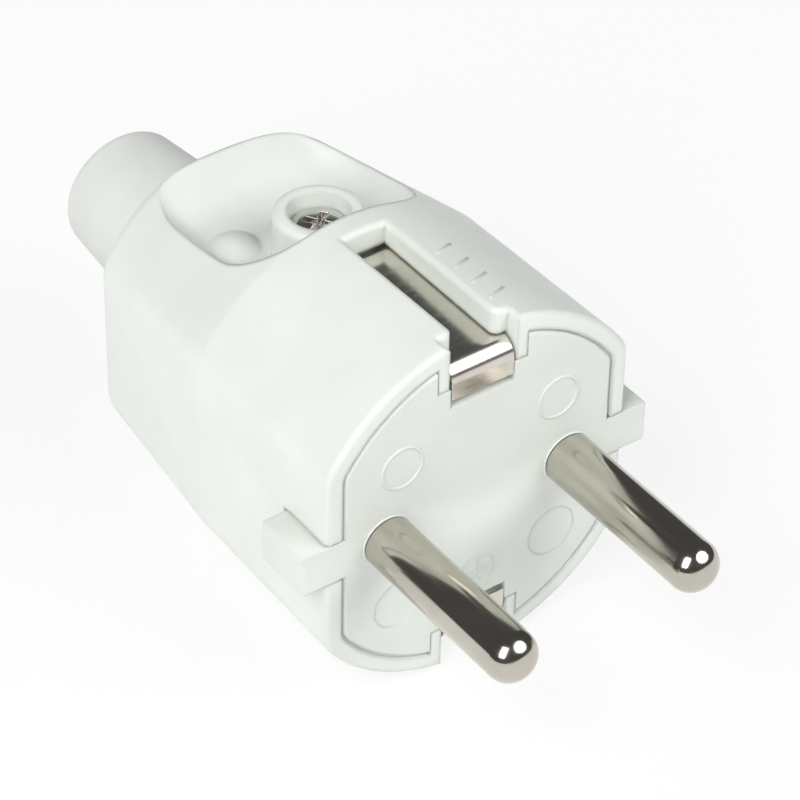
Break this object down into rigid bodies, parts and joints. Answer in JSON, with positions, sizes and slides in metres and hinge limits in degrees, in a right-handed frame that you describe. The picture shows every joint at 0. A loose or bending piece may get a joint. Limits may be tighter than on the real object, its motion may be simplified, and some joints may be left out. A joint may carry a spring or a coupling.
{
  "type": "rewirable earthed mains plug",
  "caption": "White earthed mains plug: moulded hood with earth slots and a screw boss, insert with round pins and side ears, and a conical rubber cord sleeve.",
  "frame": {"origin": "middle of the pin face, halfway between the pins, where the plug meets a socket's floor", "axes": "+Y runs from the pin face to the cord, the pins point along -Y, +Z is the side of the cover screw, and +X is to the right seen from behind with the screw on top"},
  "size_m": [0.0364, 0.075, 0.036],
  "materials": {
    "white_plastic": "satin moulded",
    "white_insert": "satin moulded",
    "grey_plastic": "matt moulded",
    "white_rubber": "matt moulded",
    "nickel": "bright nickel plate",
    "zinc_steel": "bright zinc plate"
  },
  "bodies": {
    "root": {"cover": "white_plastic", "pin_carrier": "white_insert", "line_pin": "nickel", "neutral_pin": "nickel", "line_terminal_screw": "zinc_steel", "neutral_terminal_screw": "zinc_steel", "earth_strap": "nickel", "earth_washer": "zinc_steel", "earth_screw": "zinc_steel", "earth_nut": "zinc_steel", "pin_retainer": "grey_plastic", "cover_screw": "zinc_steel", "cover_nut": "zinc_steel", "cord_grip": "grey_plastic", "cord_grip_screw_left": "zinc_steel", "cord_grip_screw_right": "zinc_steel", "cord_grip_nut_left": "zinc_steel", "cord_grip_nut_right": "zinc_steel", "cable_sleeve": "white_rubber"}
  },
  "joints": []
}
